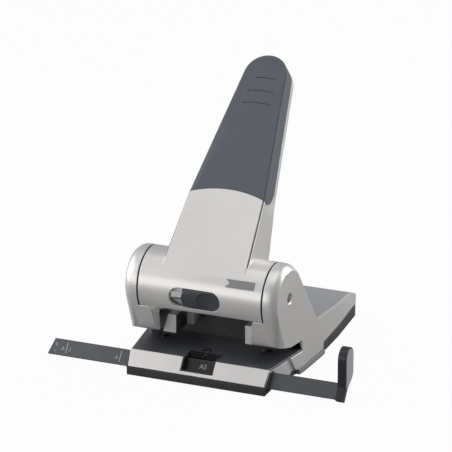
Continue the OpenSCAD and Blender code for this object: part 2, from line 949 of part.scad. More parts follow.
// Hooked strip inside the drum that holds the locked lever down
module lock_catch() {
    entry = lock_angle - lever_travel;
    bar_y = [-3.4, 1.2];
    color("#8e9196")
        slab(catch_x, catch_x + catch_w) {
            translate([pivot_y, pivot_z])
                difference() {
                    arc_band(catch_r - catch_t, catch_r, 58, entry + 15);
                    arc_band(tab_in - 0.5, catch_r + 1, entry - 6.5, entry + 6.5);
                }
            polygon([[bar_y[0], catch_foot_z], [cross_y, catch_foot_z],
                     [cross_y, catch_foot_z + catch_foot_h], [bar_y[1], catch_foot_z + catch_foot_h],
                     [bar_y[1], pivot_z + 14.5], [bar_y[1] - 2.6, pivot_z + 17], [bar_y[0], pivot_z + 16]]);
        }
}

// ---- Lever ----

// Front view of the arm, drawn in by an inset: x across, y up the lever
module arm_outline(inset, low) {
    hull() {
        translate([0, tip_z])
            circle(tip_r - inset, $fn = 48);
        translate([-lever_w / 2 + inset, grip_from])
            square([lever_w - 2 * inset, 0.1]);
        translate([-arm_low_w / 2 + inset, low])
            square([arm_low_w - 2 * inset, 0.1]);
    }
}

// Arm from its front face to y_back, with the front edges broken
module arm_block(inset, low, y_back) {
    front = lever_face + inset;
    hull() {
        translate([0, y_back, 0])
            rotate([90, 0, 0])
                linear_extrude(y_back - front - edge_r)
                    arm_outline(inset, low);
        translate([0, y_back, 0])
            rotate([90, 0, 0])
                linear_extrude(y_back - front)
                    arm_outline(inset + edge_r, low);
    }
}

// Side view of the arm: back edge with its flare into the drum
module arm_side(back_cut) {
    polygon([[lever_face - 1, 0], [lever_face - 1, lever_len + 1], [back_tip - back_cut, lever_len + 1],
             [back_root - back_cut, flare_top], [flare_bend[0] - back_cut, flare_bend[1]],
             [flare_foot - (flare_foot - flare_bend[0]) * flare_end / flare_bend[1] - back_cut, flare_end],
             [0, flare_end], [0, 0]]);
}

// Side view of the zone that the grip covers
module grip_side() {
    back_low = back_root - strip_w;
    back_high = back_tip - strip_w;
    bend = 17;
    steps = 8;
    polygon(concat(
        [[lever_face - 1, grip_from], [lever_face - 1, lever_len + 1], [back_high, lever_len + 1]],
        [for (i = [steps : -1 : 0]) let (a = 90 * i / steps)
            [back_low - bend + bend * sin(a) + (i == steps ? -0.1 : 0), grip_from + bend * (1 - cos(a))]]));
}

module grip_zone() {
    difference() {
        slab(-big / 2, big / 2)
            grip_side();
        translate([0, big / 2, grip_from + grip_arch - arch_r])
            rotate([90, 0, 0])
                cylinder(h = big, r = arch_r, $fn = 180);
    }
}

module arm_envelope() {
    intersection() {
        arm_block(0, 0.3, drum_r);
        slab(-big / 2, big / 2)
            arm_side(0);
    }
}

module arm_core() {
    arm_block(grip_t, grip_from - 4, back_tip - 1.3);
}

// Hollow of the arm, or the smaller outline that fits in its mouth
module arm_hollow(inset) {
    low = drum_r + 3;
    module outline() {
        polygon([[-arm_low_w / 2 + inset, low], [arm_low_w / 2 - inset, low],
                 [lever_w / 2 - inset, grip_from], [tip_r - inset, tip_z],
                 [-tip_r + inset, tip_z], [-lever_w / 2 + inset, grip_from]]);
    }
    translate([0, drum_r + 4, 0])
        rotate([90, 0, 0])
            linear_extrude(drum_r + 4 - lever_face - inset)
                outline();
}

module lever_body() {
    color("silver")
        at_lever()
            difference() {
                union() {
                    difference() {
                        arm_envelope();
                        grip_zone();
                        rod(-big / 2, big / 2, drum_r - 1);
                    }
                    arm_core();
                    // Drum, its end walls and their hubs
                    slab(-drum_hl, drum_hl)
                        arc_band(drum_in, drum_r, hem_angle + lever_rest, ledge_angle + lever_rest);
                    both()
                        slab(drum_hl - hub_t, drum_hl) {
                            circle(hub_r);
                            arc_band(hub_r - 4, drum_in + 1, hem_angle + lever_rest + 1, ledge_angle + lever_rest - 1);
                        }
                }
                arm_hollow(grip_t + arm_wall);
                // Slot of the lock slider
                facing(lock_angle + lever_rest)
                    translate([lock_mid, 0, drum_in - 3])
                        linear_extrude(10)
                            obround(lock_slot_len, lock_slot_w);
                // Bores of the bushes and the cam dowels
                rod(-big / 2, big / 2, pin_r + 2);
                dowel_places()
                    rod(drum_hl - hub_t - 1, drum_hl + 1, 1.5);
            }
}

module grip() {
    color("#4b5159")
        at_lever()
            difference() {
                intersection() {
                    arm_envelope();
                    grip_zone();
                }
                arm_core();
                // Three shallow grooves for the thumb
                for (g = grip_grooves)
                    translate([g[1], lever_face + groove_depth, g[0] - groove_r])
                        rotate([90, 0, 0])
                            linear_extrude(2)
                                intersection() {
                                    difference() {
                                        circle(groove_r + 0.4, $fn = 180);
                                        circle(groove_r - 0.4, $fn = 180);
                                    }
                                    translate([-g[2] / 2, 0])
                                        square([g[2], big]);
                                }
            }
}

module lever_back_cover() {
    inset = grip_t + arm_wall + 0.1;
    color("#3a3d41")
        at_lever()
            intersection() {
                arm_hollow(inset);
                slab(-big / 2, big / 2)
                    polygon([[back_tip, lever_len], [back_root, flare_top], flare_bend, [flare_foot, 0],
                             [flare_foot - cover_t, 0], [flare_bend[0] - cover_t, flare_bend[1]],
                             [back_root - cover_t, flare_top], [back_tip - cover_t, lever_len]]);
            }
}

// Bare plate on the front of the drum, with a notched left end
module name_plate() {
    color("#54575c")
        at_lever()
            difference() {
                slab(19.4, 40.9)
                    arc_band(drum_r, drum_r + 0.4, 140.5 + lever_rest, 154.5 + lever_rest);
                facing(147.5 + lever_rest)
                    translate([19.1, 0, drum_r - 2])
                        cylinder(h = 5, r = 3, $fn = 4);
            }
}

// ---- Cams ----

// Point of an involute on which the punch head rides, for a roll in radians
function cam_point(roll) = let (turn = roll - roll_rest, d = turn * 180 / PI)
    pivot_back * [cos(d) + roll * sin(d), sin(d) - roll * cos(d)];

module cam() {
    low_roll = roll_rest - 0.14;
    high_roll = roll_rest + travel_rad + 0.1;
    steps = 24;
    curve = [for (i = [0 : steps]) cam_point(low_roll + (high_roll - low_roll) * i / steps)];
    top = curve[steps];
    color("#a4a7ab")
        at_pivot()
            difference() {
                slab(punch_x - cam_t / 2, punch_x + cam_t / 2) {
                    polygon(concat(curve, [[top[0] - 1, top[1] + 4], [9, 10.5], [-4, 9.5], [-6, 0]]));
                    circle(cam_hub_r);
                }
                rod(0, big, pin_r + slip);
                rotate([-lever_rest, 0, 0])
                    dowel_place()
                        rod(0, big, 1.5);
            }
}

// The dowels lie above the pivot, across cam and end wall
module dowel_place() {
    rotate([lever_rest + 55, 0, 0])
        translate([0, 8, 0])
            children();
}

module dowel_places() {
    both()
        dowel_place()
            children();
}

module cam_dowels() {
    color("#8e9196")
        at_lever()
            dowel_places()
                rod(punch_x - cam_t / 2 + 1, drum_hl - 0.3, 1.5);
}

module bush() {
    color("#b08d4f")
        at_pivot()
            difference() {
                rod(drum_hl - hub_t, drum_hl, pin_r + 2);
                rod(0, big, pin_r + slip);
            }
}

// ---- Lock ----

// Curved backing behind the slider, held at both ends against the drum
module slider_frame() {
    left = lock_mid - lock_slot_len / 2 - frame_left;
    right = lock_mid + lock_slot_len / 2 + frame_right;
    half_a = 23;
    a = lock_angle + lever_rest;
    color("#c4c7ca")
        at_lever()
            difference() {
                union() {
                    slab(left, right)
                        arc_band(frame_r - frame_t, frame_r, a - half_a, a + half_a);
                    slab(left, left + 2)
                        arc_band(frame_r - frame_t, drum_in, a - half_a, a + half_a);
                    slab(right - 2, right)
                        arc_band(frame_r - frame_t, drum_in, a - half_a, a + half_a);
                }
                facing(a)
                    translate([tab_x - lock_travel - 0.5, -2.6, 0])
                        cube([lock_travel + tab_w + 1, 5.2, 40]);
            }
}

module lock_slider() {
    a = lock_angle + lever_rest;
    pad_len = lock_slot_len - lock_travel - 0.5;
    pad_mid = lock_mid + lock_slot_len / 2 - 0.25 - pad_len / 2;
    dish_right = pad_mid + pad_len / 2 - 0.15;
    dish_left = dish_right - dish_len;
    plate_right = lock_mid + lock_slot_len / 2 + lock_travel + 1.5;
    color("#3a3d42")
        at_lever()
            difference() {
                union() {
                    slab(tab_x, plate_right)
                        arc_band(lock_plate_r - lock_plate_t, lock_plate_r, a - 21.5, a + 21.5);
                    // Raised pad that fills the slot
                    intersection() {
                        slab(-drum_hl, drum_hl)
                            arc_band(lock_plate_r - 0.4, drum_r - 0.2, a - 25, a + 25);
                        facing(a)
                            translate([pad_mid, 0, 0])
                                linear_extrude(drum_r + 5)
                                    obround(pad_len, lock_slot_w - 0.6);
                    }
                    // Tab that goes into the notch of the catch
                    facing(a)
                        translate([tab_x, -2, tab_in])
                            cube([tab_w, 4, lock_plate_r - 0.5 - tab_in]);
                }
                // Dish for the thumb, steep on the left and rising to the right
                facing(a)
                    intersection() {
                        translate([dish_left + dish_len / 2, 0, 0])
                            linear_extrude(2 * drum_r)
                                obround(dish_len, lock_slot_w - 3);
                        rotate([90, 0, 0])
                            translate([0, 0, -lock_slot_w])
                                linear_extrude(2 * lock_slot_w)
                                    polygon([[dish_left - 1, 2 * drum_r], [dish_left - 1, drum_r],
                                             [dish_left + 1, dish_left_r], [dish_left + 6.6, dish_low_r],
                                             [dish_right, dish_right_r], [dish_right + 1, 2 * drum_r]]);
                    }
            }
}

// ---- Guide rail ----

module guide_rail() {
    right = rail_set + paddle_t - 1;
    color("#34373b")
        at_lip()
            translate([0, rail_depth + rail_t / 2, rail_mid])
                rotate([90, 0, 0])
                    linear_extrude(rail_t)
                        polygon([[-rail_left - 1.6, -rail_w / 2], [right, -rail_w / 2],
                                 [right, rail_w / 2], [-rail_left + 1.6, rail_w / 2]]);
}

// Side view of the paddle, narrowed at its foot where it clasps the rail
module paddle_side(inset) {
    front = -table_front;
    r = paddle_w / 2;
    hull() {
        translate([front + r, paddle_z - r])
            circle(r - inset, $fn = 48);
        translate([front + r, table_z + 4])
            circle(r - inset, $fn = 48);
    }
    hull() {
        translate([front + r, table_z + 4])
            circle(r - inset - 0.2, $fn = 48);
        translate([front + 3.4, table_z - 4.4])
            circle(3.4 - inset, $fn = 32);
    }
}

module rail_stop() {
    color("#1d1e20")
        difference() {
            union() {
                slab(rail_set, rail_set + paddle_t)
                    paddle_side(0);
                at_lip()
                    translate([rail_set, rail_depth - rail_t / 2 - 1.6, rail_mid - rail_w / 2 - 0.9])
                        cube([paddle_t, rail_t + 3.2, rail_w + 1.8]);
            }
            at_lip()
                translate([rail_set - 1, rail_depth - rail_t / 2, rail_mid - rail_w / 2])
                    cube([paddle_t, rail_t, rail_w]);
            slab(rail_set + paddle_t - 0.8, rail_set + paddle_t + 1)
                paddle_side(1.2);
        }
}

// Light insert in the outer side of the paddle
module stop_face() {
    color("#c6c8ca")
        slab(rail_set + paddle_t - 0.8, rail_set + paddle_t + 0.5)
            paddle_side(1.3);
}

// ---- Nodes ----

housing();
table_plate();
throat_plate();
deck_cover();
base_skirt();
mirror([1, 0, 0]) side_foot();  // side_foot_left
side_foot();  // side_foot_right
rubber_feet();
mirror([1, 0, 0]) die();  // die_left
die();  // die_right
mirror([1, 0, 0]) punch_guide();  // punch_guide_left
punch_guide();  // punch_guide_right
guide_screws();
pivot_pin();
index_window();
rail_channel();
rail_spring();
lock_catch();
base_screws();
tray_pins();
chip_tray();
lever_body();
grip();
lever_back_cover();
name_plate();
mirror([1, 0, 0]) cam();  // cam_left
cam();  // cam_right
cam_dowels();
mirror([1, 0, 0]) bush();  // bush_left
bush();  // bush_right
slider_frame();
lock_slider();
mirror([1, 0, 0]) punch();  // punch_left
punch();  // punch_right
mirror([1, 0, 0]) punch_spring();  // spring_left
punch_spring();  // spring_right
guide_rail();
rail_stop();
stop_face();
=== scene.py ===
"""Looks of a heavy two-hole desk punch: silver housing and lever, blue-grey grip, dark paper table.

Everything is in metres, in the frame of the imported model: X along the paper edge, Y to the rear, Z up.
"""

import json
import math

import bmesh
import bpy
from mathutils import Matrix, Vector
from mathutils.bvhtree import BVHTree


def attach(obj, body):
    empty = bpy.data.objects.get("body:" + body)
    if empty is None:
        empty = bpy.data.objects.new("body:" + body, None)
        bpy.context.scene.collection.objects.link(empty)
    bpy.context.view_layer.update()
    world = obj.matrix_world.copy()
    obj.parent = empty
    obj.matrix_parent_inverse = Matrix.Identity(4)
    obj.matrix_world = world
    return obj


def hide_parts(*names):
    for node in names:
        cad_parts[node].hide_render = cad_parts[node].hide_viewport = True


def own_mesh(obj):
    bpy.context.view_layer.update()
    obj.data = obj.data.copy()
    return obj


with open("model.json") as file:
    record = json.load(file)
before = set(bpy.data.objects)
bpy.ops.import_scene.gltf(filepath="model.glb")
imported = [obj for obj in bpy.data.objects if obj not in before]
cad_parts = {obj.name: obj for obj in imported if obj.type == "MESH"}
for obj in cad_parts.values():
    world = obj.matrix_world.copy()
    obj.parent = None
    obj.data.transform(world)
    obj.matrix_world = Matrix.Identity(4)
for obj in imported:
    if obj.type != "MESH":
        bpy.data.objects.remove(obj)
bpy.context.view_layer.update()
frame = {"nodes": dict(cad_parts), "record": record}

MM = 0.001
PIVOT_Y, PIVOT_Z = -11, 64.1   # axis of the lever, in millimetres
SLANT = math.sqrt(0.5)         # the arm leans back at 45 degrees at rest


def mm(*values):
    """A point or a length given in millimetres."""
    return Vector(values) * MM if len(values) > 1 else values[0] * MM


# ---- Camera and light ----

PHOTO_SIDE = 452        # width and height of the photograph, in pixels
FOCAL_PIXELS = 3077
SENSOR_MM = 36
CAMERA_AZIMUTH = 22.91  # degrees to the right of the front
CAMERA_HEIGHT = 19.53   # degrees above the horizontal
CAMERA_DISTANCE = mm(2149)
CAMERA_TARGET = mm(20.1, -33.5, 120.5)


def direction(azimuth, height):
    """Unit vector from the object towards a viewer at that azimuth and height, in degrees."""
    a, h = math.radians(azimuth), math.radians(height)
    return Vector((math.sin(a) * math.cos(h), -math.cos(a) * math.cos(h), math.sin(h)))


def link(obj):
    """Puts an object into the scene."""
    bpy.context.scene.collection.objects.link(obj)
    return obj


def aim(obj, place, target):
    """Places a camera or a lamp and turns it to a target."""
    obj.location = place
    obj.rotation_euler = (target - place).to_track_quat("-Z", "Y").to_euler()


def make_camera():
    """The camera that the photograph was taken with, as it was solved from the photograph."""
    data = bpy.data.cameras.new("camera")
    data.sensor_width = SENSOR_MM
    data.lens = FOCAL_PIXELS / PHOTO_SIDE * SENSOR_MM
    data.clip_start, data.clip_end = 0.05, 20
    camera = link(bpy.data.objects.new("camera", data))
    place = CAMERA_TARGET + direction(CAMERA_AZIMUTH, CAMERA_HEIGHT) * CAMERA_DISTANCE
    aim(camera, place, CAMERA_TARGET)
    bpy.context.scene.camera = camera


LAMPS = [   # name, azimuth and height in degrees, distance and side in metres, power in watts
    ("left", -72, 20, 1.4, 1.4, 21),
    ("front", -22, 8, 1.4, 0.8, 3.8),
    ("top", 10, 86, 1.4, 1.2, 6),
    ("back", 136, 22, 1.6, 1.3, 23),
]
LAMP_TARGET = mm(0, 20, 90)    # middle of the object


def softbox(name, azimuth, height, distance, side, power):
    """A large square lamp that looks at the middle of the object."""
    data = bpy.data.lights.new(name, "AREA")
    data.shape = "SQUARE"
    data.size = side
    data.energy = power
    lamp = link(bpy.data.objects.new(name, data))
    aim(lamp, LAMP_TARGET + direction(azimuth, height) * distance, LAMP_TARGET)


make_camera()
bpy.context.scene.view_settings.view_transform = "Standard"
for lamp_values in LAMPS:
    softbox(*lamp_values)


# ---- Shader graphs ----

class Sock:
    """An output socket that plain Python maths can be written on."""

    def __init__(self, graph, socket):
        self.graph, self.socket = graph, socket

    def _math(self, operation, *values):
        return self.graph.add("Math", {"operation": operation}, *values)

    def __add__(self, other):
        return self._math("ADD", self, other)

    __radd__ = __add__

    def __mul__(self, other):
        return self._math("MULTIPLY", self, other)

    __rmul__ = __mul__

    def __sub__(self, other):
        return self._math("SUBTRACT", self, other)

    def __rsub__(self, other):
        return self._math("SUBTRACT", other, self)

    def __gt__(self, other):
        return self._math("GREATER_THAN", self, other)

    def __lt__(self, other):
        return self._math("LESS_THAN", self, other)

    def soft(self, low, high):
        """0 below low, 1 above high, and a smooth step between them."""
        settings = {"interpolation_type": "SMOOTHSTEP"}
        return self.graph.add("MapRange", settings, self, low, high, 0.0, 1.0)


class Graph:
    """The node tree of one material, around its Principled shader."""

    def __init__(self, name, **base):
        self.material = bpy.data.materials.new(name)
        self.material.use_nodes = True
        self.tree = self.material.node_tree
        self.shader = self.tree.nodes["Principled BSDF"]
        self.axes = {}
        for key, value in base.items():
            self.shader.inputs[key.replace("_", " ")].default_value = value

    def add(self, kind, settings=None, *values, out=0, **named):
        """Adds one node: its settings first, then its sockets by place or by name."""
        node = self.tree.nodes.new("ShaderNode" + kind)
        for key, value in (settings or {}).items():
            setattr(node, key, value)
        for key, value in list(enumerate(values)) + list(named.items()):
            socket = node.inputs[key if isinstance(key, int) else key.replace("_", " ")]
            if isinstance(value, Sock):
                self.tree.links.new(value.socket, socket)
            else:
                socket.default_value = value
        return Sock(self, node.outputs[out])

    def set(self, name, value):
        """Links a value to a socket of the Principled shader."""
        self.tree.links.new(value.socket, self.shader.inputs[name])

    def coords(self, scale):
        """The object's own coordinates, stretched along its axes."""
        here = self.add("TexCoord", out="Object")
        return self.add("Mapping", None, Vector=here, Scale=scale)

    def axis(self, which):
        """One of the object's own coordinates, in metres."""
        if which not in self.axes:
            here = self.add("TexCoord", out="Object")
            self.axes[which] = self.add("SeparateXYZ", None, here, out=which)
        return self.axes[which]

    def noise(self, scale, detail, stretch=(1, 1, 1)):
        """Cloudy noise, with scale in features a metre."""
        return self.add("TexNoise", None, Vector=self.coords(stretch), Scale=scale, Detail=detail)

    def mix(self, factor, first, second):
        """A colour between two others."""
        node = self.tree.nodes.new("ShaderNodeMix")
        node.data_type = "RGBA"
        for socket, value in zip((node.inputs[0], node.inputs[6], node.inputs[7]), (factor, first, second)):
            if isinstance(value, Sock):
                self.tree.links.new(value.socket, socket)
            else:
                socket.default_value = value
        return Sock(self, node.outputs[2])

    def bump(self, height, strength, depth):
        """Lets a height roughen the surface, depth metres at the most."""
        normal = self.add("Bump", None, Strength=strength, Distance=depth, Height=height)
        self.set("Normal", normal)


def rgb(*colour):
    """An opaque colour."""
    return (*colour, 1.0)


ARM_FRONT = 24.7       # front face of the arm, before the plane through the pivot
LINE_FROM = 8.6        # where the painted dark reflection on the arm begins, up from the pivot
LINE_INSIDE = 24       # the line lies farther out than this, less the arm's taper
ARM_TAPER = 0.08
SEAM = (47.2, 48.4)    # inner and outer side of the gaps beside the drum
SEAM_RADIUS = 25.0


def from_pivot(g):
    """Places across the lever from its middle, and along Y and Z from its pivot."""
    across = g.add("Math", {"operation": "ABSOLUTE"}, g.axis("X"))
    return across, g.axis("Y") - mm(PIVOT_Y), g.axis("Z") - mm(PIVOT_Z)


def arm_edge_reflection(g):
    """1 on the narrow front edge of the lever's arm, where a dark reflection is painted as a line, and 0 elsewhere.
    """
    across, y, z = from_pivot(g)
    up, behind = (y + z) * SLANT, (y - z) * SLANT + mm(ARM_FRONT)
    edge = behind.soft(mm(0.2), mm(0.5)) * (1 - behind.soft(mm(1.0), mm(1.3)))
    return edge * (up > mm(LINE_FROM)) * (across > mm(LINE_INSIDE) - up * ARM_TAPER)


def drum_seam_shade(g):
    """1 in the narrow gap between the ends of the drum and the cheeks, where painted shade darkens the silver."""
    across, y, z = from_pivot(g)
    inner, outer = SEAM
    return (across > mm(inner)) * (across < mm(outer)) * ((y * y + z * z) < mm(SEAM_RADIUS) ** 2)


def painted_dark_lines(g):
    """1 where the silver parts are painted dark: painted shade in the gaps beside the drum and a painted dark
    reflection along the arm's edge.
    """
    return arm_edge_reflection(g) + drum_seam_shade(g)


def shade(colour, factor):
    """A colour made lighter or darker."""
    return tuple(min(1.0, c * factor) for c in colour[:3]) + (1.0,)


GUIDE_FACE_END = (-14.45, -14.25)   # along Y, where a guide's front face ends and its painted shade begins


def guide_rear_shade(g):
    """1 on a punch guide behind its front face, where painted shade darkens it."""
    start, end = GUIDE_FACE_END
    return g.axis("Y").soft(mm(start), mm(end))


def paint(name, colour, roughness, metal, flake=0.06, coat=0.0, darker=None):
    """Paint with fine flakes and a faint orange peel; darker gives where painted shade or a painted dark reflection
    darkens it.
    """
    g = Graph(name, Roughness=roughness, Metallic=metal, Coat_Weight=coat, Coat_Roughness=0.18)
    flakes = g.noise(9000, 1.0)
    cloud = g.noise(26, 3.0)
    blend = (flakes * 0.7 + cloud * 0.3).soft(0.32, 0.68)
    colours = g.mix(blend, shade(colour, 1 - flake), shade(colour, 1 + flake))
    if darker:
        # painted shade and painted dark reflection: the masked part drops to a sixth of the colour
        colours = g.mix(darker(g), colours, shade(colour, 0.16))
    g.set("Base Color", colours)
    g.set("Roughness", roughness + (cloud - 0.5) * 0.08)
    g.bump(g.noise(2600, 2.0), 0.10, mm(0.05))
    return g.material


def moulded(name, colour, roughness, grain=1500, depth=0.10, darker=None):
    """Moulded plastic with a fine eroded grain; darker gives where painted shade or a painted dark reflection darkens
    it.
    """
    g = Graph(name, Roughness=roughness)
    g.shader.inputs["Specular IOR Level"].default_value = 0.45
    cloud = g.noise(45, 4.0)
    colours = g.mix(cloud, shade(colour, 0.93), shade(colour, 1.07))
    if darker:
        # painted dark reflection: the masked part drops to three tenths of the colour
        colours = g.mix(darker(g), colours, shade(colour, 0.3))
    g.set("Base Color", colours)
    g.set("Roughness", roughness + (cloud - 0.5) * 0.12)
    g.bump(g.noise(grain, 3.0), 0.25, mm(depth))
    return g.material


def metal(name, colour, roughness, stretch=(1, 1, 40)):
    """Bare metal with the fine lines of its grinding or drawing."""
    g = Graph(name, Roughness=roughness, Metallic=1.0)
    lines = g.noise(900, 3.0, stretch)
    g.set("Base Color", g.mix(lines, shade(colour, 0.86), shade(colour, 1.12)))
    g.set("Roughness", roughness + (lines - 0.5) * 0.16)
    g.bump(lines, 0.12, mm(0.03))
    return g.material


# silver_paint, guide_metal and grip_plastic are darkened by their masks: painted shade in the drum's seams and behind
# the guides' front faces, and a painted dark reflection along the arm's edge.
FINISHES = {
    "silver_paint": (paint, dict(colour=(0.60, 0.585, 0.565), roughness=0.36, metal=0.55, coat=0.15, darker=painted_dark_lines)),
    "grip_plastic": (moulded, dict(colour=(0.062, 0.070, 0.084), roughness=0.42, darker=arm_edge_reflection)),
    "table_paint": (paint, dict(colour=(0.075, 0.079, 0.088), roughness=0.30, metal=0.3, flake=0.04, coat=0.2)),
    "throat_paint": (paint, dict(colour=(0.03, 0.031, 0.034), roughness=0.34, metal=0.1, flake=0.04, coat=0.1)),
    "deck_plastic": (moulded, dict(colour=(0.235, 0.24, 0.245), roughness=0.55)),
    "base_plastic": (moulded, dict(colour=(0.026, 0.027, 0.030), roughness=0.42)),
    "foot_plastic": (moulded, dict(colour=(0.19, 0.195, 0.205), roughness=0.5)),
    "foot_rubber": (moulded, dict(colour=(0.02, 0.02, 0.022), roughness=0.85, grain=900, depth=0.2)),
    "tool_steel": (metal, dict(colour=(0.62, 0.62, 0.63), roughness=0.24, stretch=(1, 1, 0.05))),
    "guide_metal": (paint, dict(colour=(0.66, 0.66, 0.66), roughness=0.36, metal=0.6, flake=0.05, darker=guide_rear_shade)),
    "screw_steel": (metal, dict(colour=(0.45, 0.45, 0.46), roughness=0.35)),
    "pin_steel": (metal, dict(colour=(0.52, 0.52, 0.53), roughness=0.28, stretch=(40, 1, 1))),
    "spring_steel": (paint, dict(colour=(0.5, 0.5, 0.51), roughness=0.5, metal=0.85, flake=0.04)),
    "bush_brass": (metal, dict(colour=(0.62, 0.47, 0.2), roughness=0.3)),
    "catch_steel": (paint, dict(colour=(0.20, 0.21, 0.22), roughness=0.4, metal=0.5, flake=0.05)),
    "slider_plastic": (moulded, dict(colour=(0.036, 0.039, 0.045), roughness=0.34, grain=1200, depth=0.05)),
    "window_plastic": (moulded, dict(colour=(0.012, 0.012, 0.013), roughness=0.25, grain=900, depth=0.03)),
    "rail_plastic": (moulded, dict(colour=(0.052, 0.056, 0.062), roughness=0.42, grain=1400, depth=0.06)),
    "stop_plastic": (moulded, dict(colour=(0.008, 0.009, 0.010), roughness=0.38, grain=1400, depth=0.06)),
    "stop_insert": (moulded, dict(colour=(0.30, 0.30, 0.31), roughness=0.5)),
    "plate_plastic": (moulded, dict(colour=(0.20, 0.20, 0.205), roughness=0.35, grain=1200, depth=0.04)),
}
made = {}


def finish_of(slot):
    """The material of a slot of the record, made when a piece first asks for it."""
    if slot not in made:
        maker, values = FINISHES[slot]
        made[slot] = maker(slot, **values)
    return made[slot]


slot_of = {s["node"]: s["material_slot"] for s in frame["record"]["subparts"]}
body_of = {n: b for b, nodes in frame["record"]["behaviour"]["bodies"].items() for n in nodes}


# ---- Pieces ----

DULL_CORNER = 32       # degrees between faces above which a plain piece keeps a crisp corner
BROKEN_CORNER = 60     # the same where the edges are broken
UNBROKEN_CORNER = 30   # the same on a node that keeps its own edges
EDGE_ANGLE = 34        # edges sharper than this are broken


def dress(mesh, name, slot, body, sharp=DULL_CORNER):
    """Makes a piece of a mesh, with a finish of the record and the body that it rides on."""
    mesh.polygons.foreach_set("use_smooth", [True] * len(mesh.polygons))
    mesh.set_sharp_from_angle(angle=math.radians(sharp))
    obj = link(bpy.data.objects.new(name, mesh))
    mesh.materials.append(finish_of(slot))
    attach(obj, body)
    return obj


def put(bm, name, node, sharp):
    """Turns a bmesh into a piece that stands for a node, with that node's finish and body."""
    mesh = bpy.data.meshes.new(name)
    bm.to_mesh(mesh)
    bm.free()
    obj = dress(mesh, name, slot_of[node], body_of[node], sharp)
    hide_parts(node)
    return obj


def node_copy(node, merge, flat):
    """The mesh of a CAD node without its slivers, and with its triangles merged to whole faces if flat is given."""
    bm = bmesh.new()
    bm.from_mesh(frame["nodes"][node].data)
    bmesh.ops.remove_doubles(bm, verts=bm.verts, dist=mm(merge))
    if flat:
        bmesh.ops.dissolve_degenerate(bm, edges=bm.edges, dist=mm(merge))
        bmesh.ops.dissolve_limit(bm, angle_limit=math.radians(flat), verts=bm.verts, edges=bm.edges)
    return bm


def round_over(bm, chosen, radius):
    """Rounds the edges that a test picks."""
    edges = [e for e in bm.edges if len(e.link_faces) == 2 and chosen(e)]
    bmesh.ops.bevel(bm, geom=edges, offset=mm(radius), offset_type="OFFSET", affect="EDGES",
                    segments=5, profile=0.5, material=-1, clamp_overlap=True)


RIM_FROM_Y, RIM_FROM_Z = 13.5, 10     # the walls' rounded rim lies behind and above this
WALLS_MIDDLE = (0, 60)                # a point between the walls, from above


def wall_rim(edge):
    """Outer upper edge of the housing walls, behind the paper slot."""
    if any(v.co.y < mm(RIM_FROM_Y) or v.co.z < mm(RIM_FROM_Z) for v in edge.verts):
        return False
    tops = [f for f in edge.link_faces if f.normal.z > 0.45]
    sides = [f for f in edge.link_faces if abs(f.normal.z) < 0.1]
    outward = edge.verts[0].co.xy - mm(*WALLS_MIDDLE)
    return len(tops) == len(sides) == 1 and sides[0].normal.xy.dot(outward) > 0


def arm_place(point):
    """Place of a point along the lever: across it, behind the pivot and up the arm."""
    y, z = point.y - mm(PIVOT_Y), point.z - mm(PIVOT_Z)
    return point.x, (y - z) * SLANT, (y + z) * SLANT


def arm_point(x, behind, up):
    """Point of the frame at a place along the lever, all in millimetres."""
    return mm(x, (behind + up) * SLANT + PIVOT_Y, (up - behind) * SLANT + PIVOT_Z)


BACK_FROM = 60         # the arm's back is rounded from here up
BACK_BEHIND = -4.5
ARM_END_CENTRE = 161.4   # centre of the arm's round end, up from the pivot


def arm_back(edge):
    """Outer edge along the back of the arm."""
    middle = (edge.verts[0].co + edge.verts[1].co) / 2
    x, behind, up = arm_place(middle)
    if up < mm(BACK_FROM) or behind < mm(BACK_BEHIND):
        return False
    flat = [f for f in edge.link_faces if (f.normal.y - f.normal.z) * SLANT > 0.95]
    outer = [f for f in edge.link_faces if abs((f.normal.y - f.normal.z)) < 0.2]
    if len(flat) != 1 or len(outer) != 1:
        return False
    away = Vector((x, 0, 0)) + Vector((0, 1, 1)) * max(0.0, up - mm(ARM_END_CENTRE)) * SLANT
    return outer[0].normal.dot(away) > 0


CORE_END = 57          # lower end of the lever's core under the grip, up from the pivot
CORE_STEP = 29.5       # its corners there stand farther out than this
ARM_SIDE = 29.43       # half the arm's width there
CORE_MERGE = 0.16


def level_core(bm):
    """Brings the end of the lever's core under the grip level with the side of the arm."""
    for vert in bm.verts:
        x, _, up = arm_place(vert.co)
        if abs(up - mm(CORE_END)) < mm(0.1) and abs(x) > mm(CORE_STEP):
            vert.co.x = math.copysign(mm(ARM_SIDE), x)
    bmesh.ops.remove_doubles(bm, verts=bm.verts, dist=mm(CORE_MERGE))


ROUND_OVER = {"housing": (wall_rim, 2.3), "lever_body": (arm_back, 2.6)}   # radius in millimetres
CLEANING = {   # merged distance in millimetres and flat angle in degrees
    "housing": (0.12, 0.03), "lever_body": (CORE_MERGE, 0.7), "grip": (0.12, 0.03),
    "base_skirt": (0.2, 0.5), "index_window": (0.2, None), "rail_channel": (0.3, 0.3),
    "lock_slider": (0.2, 0.5), "table_plate": (0.2, 0.03),
}
PLAIN_CLEANING = (0.02, 0.4)


def break_edges(bm, width):
    """Breaks the sharp edges, and draws back any corner that leaves the shell where the edges crowd."""
    shell = BVHTree.FromBMesh(bm)
    limit = math.radians(EDGE_ANGLE)
    edges = [e for e in bm.edges if len(e.link_faces) == 2 and e.calc_face_angle() > limit]
    bmesh.ops.bevel(bm, geom=edges, offset=mm(width), offset_type="OFFSET", affect="EDGES",
                    segments=2, profile=0.5, material=-1, clamp_overlap=False)
    for vert in bm.verts:
        place, _, _, distance = shell.find_nearest(vert.co)
        if distance > mm(width):
            vert.co = place


